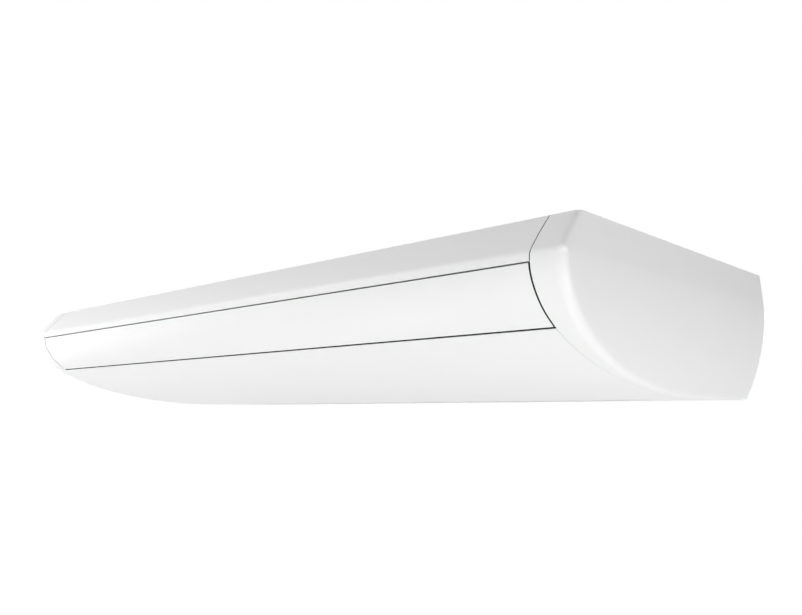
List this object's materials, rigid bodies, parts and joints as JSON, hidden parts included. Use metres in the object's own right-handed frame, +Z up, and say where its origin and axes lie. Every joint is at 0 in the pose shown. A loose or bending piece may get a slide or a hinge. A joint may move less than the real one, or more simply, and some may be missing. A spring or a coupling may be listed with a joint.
{
  "type": "air conditioner indoor unit",
  "caption": "Long ceiling-suspended air conditioner indoor unit with a curved front, a hinged outlet flap, linked air vanes, hinged intake grilles and rounded end caps.",
  "frame": {"origin": "centre of the four suspension slots, on the underside of the hangers' flanges", "axes": "+X along the unit to the right end as seen from the front, +Y from the front to the back, +Z up"},
  "size_m": [1.65, 0.675, 0.235],
  "materials": {
    "casing_plastic": "satin",
    "latch_plastic": "matte",
    "vane_plastic": "matte",
    "filter_mesh": "matte",
    "galvanised_sheet": "galvanised",
    "zinc_fasteners": "zinc plated",
    "foam": "matte",
    "drain_plastic": "satin",
    "copper": "drawn",
    "union_brass": "machined",
    "fin_aluminium": "rolled",
    "scroll_plastic": "matte",
    "wheel_plastic": "matte",
    "shaft_steel": "ground",
    "motor_housing": "satin",
    "stepper_case": "satin",
    "bearing_rubber": "matte",
    "circuit_laminate": "satin",
    "terminal_plastic": "matte"
  },
  "bodies": {
    "chassis": {"end_cap_left": "casing_plastic", "end_cap_right": "casing_plastic", "front_cover": "casing_plastic", "lower_panel": "casing_plastic", "intake_frame": "casing_plastic", "outlet_rail": "vane_plastic", "flap_supports": "vane_plastic", "top_plate": "galvanised_sheet", "back_plate": "galvanised_sheet", "pipe_plate": "galvanised_sheet", "side_plate_left": "galvanised_sheet", "side_plate_right": "galvanised_sheet", "fan_partition": "galvanised_sheet", "motor_bracket": "galvanised_sheet", "coil_end_plates": "galvanised_sheet", "control_box": "galvanised_sheet", "control_cover": "galvanised_sheet", "hanger_left": "galvanised_sheet", "hanger_right": "galvanised_sheet", "hanger_bolts": "zinc_fasteners", "casing_screws": "zinc_fasteners", "drain_pan": "foam", "air_guide": "foam", "drain_pipe": "drain_plastic", "coil_tubes": "copper", "liquid_pipe": "copper", "gas_pipe": "copper", "pipe_unions": "union_brass", "coil_fins": "fin_aluminium", "scroll_housings": "scroll_plastic", "fan_motor": "motor_housing", "flap_motor": "stepper_case", "vane_motors": "stepper_case", "shaft_bearings": "bearing_rubber", "cable_grommet": "bearing_rubber", "circuit_board": "circuit_laminate", "terminal_block": "terminal_plastic"},
    "flap": {"outlet_flap": "casing_plastic"},
    "fan_rotor": {"fan_wheels": "wheel_plastic", "fan_shaft": "shaft_steel"},
    "grille_left": {"intake_grille_left": "casing_plastic", "air_filter_left": "filter_mesh"},
    "grille_right": {"intake_grille_right": "casing_plastic", "air_filter_right": "filter_mesh"},
    "tie_left": {"tie_bar_left": "vane_plastic"},
    "tie_right": {"tie_bar_right": "vane_plastic"},
    "catch_left_low_x": {"latch_left_low_x": "latch_plastic"},
    "catch_left_high_x": {"latch_left_high_x": "latch_plastic"},
    "catch_right_low_x": {"latch_right_low_x": "latch_plastic"},
    "catch_right_high_x": {"latch_right_high_x": "latch_plastic"},
    "blade_01": {"vane_01": "vane_plastic"},
    "blade_02": {"vane_02": "vane_plastic"},
    "blade_03": {"vane_03": "vane_plastic"},
    "blade_04": {"vane_04": "vane_plastic"},
    "blade_05": {"vane_05": "vane_plastic"},
    "blade_06": {"vane_06": "vane_plastic"},
    "blade_07": {"vane_07": "vane_plastic"},
    "blade_08": {"vane_08": "vane_plastic"},
    "blade_09": {"vane_09": "vane_plastic"},
    "blade_10": {"vane_10": "vane_plastic"}
  },
  "joints": [
    {"name": "flap_hinge", "type": "hinge", "parent": "chassis", "child": "flap", "pos_m": [0, -0.33548, -0.11017], "axis": [1, 0, 0], "range_deg": [0, 75]},
    {"name": "fan_spin", "type": "hinge", "parent": "chassis", "child": "fan_rotor", "pos_m": [0, 0.175, -0.113], "axis": [1, 0, 0], "continuous": true},
    {"name": "grille_left_hinge", "type": "hinge", "parent": "chassis", "child": "grille_left", "pos_m": [0, 0.2634, -0.217], "axis": [1, 0, 0], "range_deg": [0, 80]},
    {"name": "catch_left_low_x_slide", "type": "slide", "parent": "grille_left", "child": "catch_left_low_x", "axis": [0, -1, 0], "range_m": [0, 0.005]},
    {"name": "catch_left_high_x_slide", "type": "slide", "parent": "grille_left", "child": "catch_left_high_x", "axis": [0, -1, 0], "range_m": [0, 0.005]},
    {"name": "grille_right_hinge", "type": "hinge", "parent": "chassis", "child": "grille_right", "pos_m": [0, 0.2634, -0.217], "axis": [1, 0, 0], "range_deg": [0, 80]},
    {"name": "catch_right_low_x_slide", "type": "slide", "parent": "grille_right", "child": "catch_right_low_x", "axis": [0, -1, 0], "range_m": [0, 0.005]},
    {"name": "catch_right_high_x_slide", "type": "slide", "parent": "grille_right", "child": "catch_right_high_x", "axis": [0, -1, 0], "range_m": [0, 0.005]},
    {"name": "blade_01_turn", "type": "hinge", "parent": "chassis", "child": "blade_01", "pos_m": [-0.675, -0.28025, -0.0806], "axis": [0, -0.5, 0.866], "range_deg": [-30, 30]},
    {"name": "blade_02_turn", "type": "hinge", "parent": "chassis", "child": "blade_02", "pos_m": [-0.525, -0.28025, -0.0806], "axis": [0, -0.5, 0.866], "range_deg": [-30, 30]},
    {"name": "blade_03_turn", "type": "hinge", "parent": "chassis", "child": "blade_03", "pos_m": [-0.375, -0.28025, -0.0806], "axis": [0, -0.5, 0.866], "range_deg": [-30, 30]},
    {"name": "blade_04_turn", "type": "hinge", "parent": "chassis", "child": "blade_04", "pos_m": [-0.225, -0.28025, -0.0806], "axis": [0, -0.5, 0.866], "range_deg": [-30, 30]},
    {"name": "blade_05_turn", "type": "hinge", "parent": "chassis", "child": "blade_05", "pos_m": [-0.075, -0.28025, -0.0806], "axis": [0, -0.5, 0.866], "range_deg": [-30, 30]},
    {"name": "blade_06_turn", "type": "hinge", "parent": "chassis", "child": "blade_06", "pos_m": [0.075, -0.28025, -0.0806], "axis": [0, -0.5, 0.866], "range_deg": [-30, 30]},
    {"name": "blade_07_turn", "type": "hinge", "parent": "chassis", "child": "blade_07", "pos_m": [0.225, -0.28025, -0.0806], "axis": [0, -0.5, 0.866], "range_deg": [-30, 30]},
    {"name": "blade_08_turn", "type": "hinge", "parent": "chassis", "child": "blade_08", "pos_m": [0.375, -0.28025, -0.0806], "axis": [0, -0.5, 0.866], "range_deg": [-30, 30]},
    {"name": "blade_09_turn", "type": "hinge", "parent": "chassis", "child": "blade_09", "pos_m": [0.525, -0.28025, -0.0806], "axis": [0, -0.5, 0.866], "range_deg": [-30, 30]},
    {"name": "blade_10_turn", "type": "hinge", "parent": "chassis", "child": "blade_10", "pos_m": [0.675, -0.28025, -0.0806], "axis": [0, -0.5, 0.866], "range_deg": [-30, 30]},
    {"name": "tie_left_turn", "type": "hinge", "parent": "blade_01", "child": "tie_left", "pos_m": [-0.675, -0.26009, -0.0655], "axis": [0, -0.5, 0.866], "range_deg": [-30, 30]},
    {"name": "tie_right_turn", "type": "hinge", "parent": "blade_10", "child": "tie_right", "pos_m": [0.675, -0.26009, -0.0655], "axis": [0, -0.5, 0.866], "range_deg": [-30, 30]}
  ],
  "couplings": [
    {"joint": "blade_02_turn", "follows": "blade_01_turn", "ratio": 1},
    {"joint": "blade_03_turn", "follows": "blade_01_turn", "ratio": 1},
    {"joint": "blade_04_turn", "follows": "blade_01_turn", "ratio": 1},
    {"joint": "blade_05_turn", "follows": "blade_01_turn", "ratio": 1},
    {"joint": "blade_06_turn", "follows": "blade_10_turn", "ratio": 1},
    {"joint": "blade_07_turn", "follows": "blade_10_turn", "ratio": 1},
    {"joint": "blade_08_turn", "follows": "blade_10_turn", "ratio": 1},
    {"joint": "blade_09_turn", "follows": "blade_10_turn", "ratio": 1},
    {"joint": "tie_left_turn", "follows": "blade_01_turn", "ratio": -1},
    {"joint": "tie_right_turn", "follows": "blade_10_turn", "ratio": -1}
  ]
}
